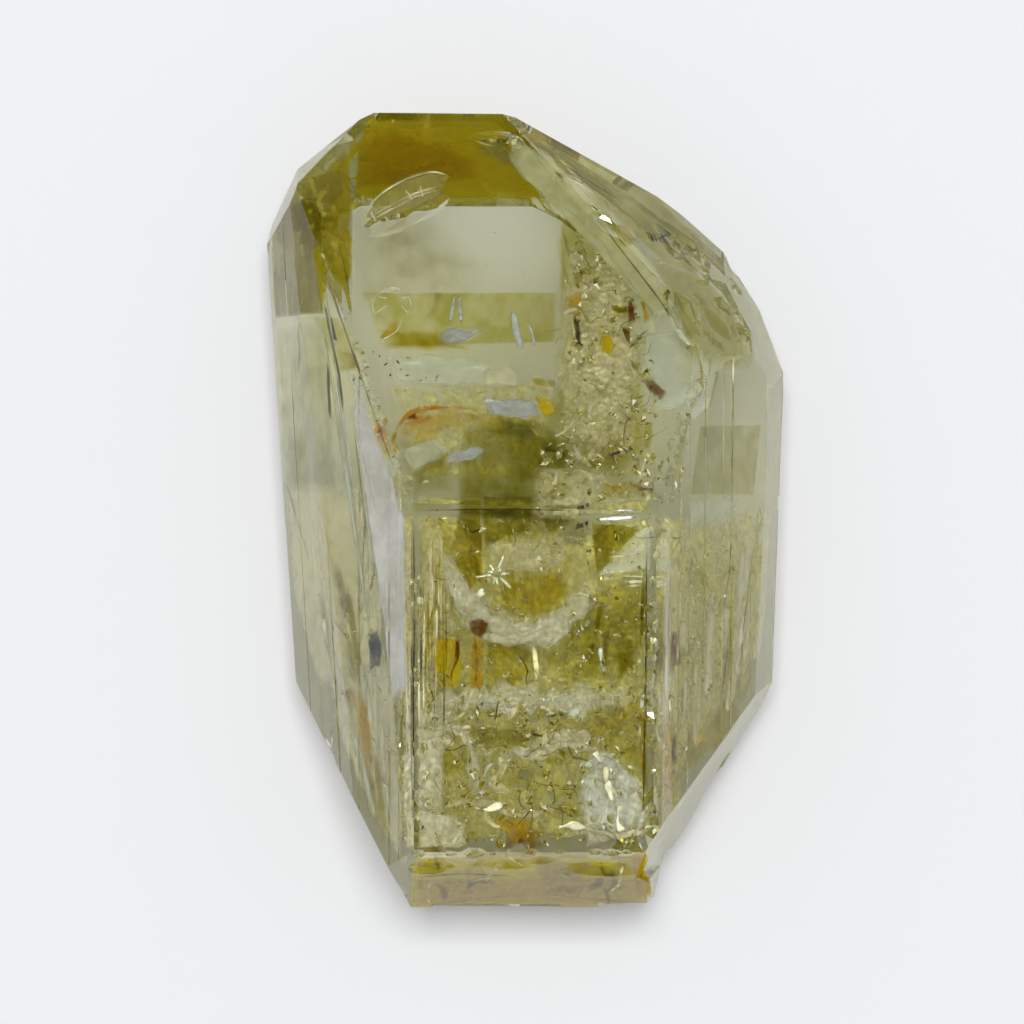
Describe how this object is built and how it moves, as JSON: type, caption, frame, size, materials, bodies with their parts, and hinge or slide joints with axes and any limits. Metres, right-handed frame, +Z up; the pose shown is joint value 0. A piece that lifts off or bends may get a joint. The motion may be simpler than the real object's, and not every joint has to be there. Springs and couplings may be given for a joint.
{
  "type": "topaz crystal",
  "caption": "Clear pale olive-yellow topaz crystal with a sloping dome tip, striated prism faces, chipped edges and a broken base, lying on a flat face.",
  "frame": {"origin": "under the middle of the crystal, on the surface that it lies on", "axes": "+Z up from the flat back face that it lies on, +Y along the crystal's c axis towards its tip, +X to the right seen from above with the tip away"},
  "size_m": [0.0408, 0.0618, 0.028],
  "materials": {
    "topaz": "clear, glossy growth faces, pale olive-yellow by absorption, with fine striations along the length",
    "fracture": "air-filled cracks and healed veils inside the clear crystal, seen as bright or silvery surfaces",
    "iron_stain": "dull orange to brown iron stain that lies in cracks and in the hollows of broken edges",
    "dark_inclusion": "small dull dark grains and needles of another mineral"
  },
  "bodies": {
    "root": {"crystal": "topaz"}
  },
  "joints": []
}
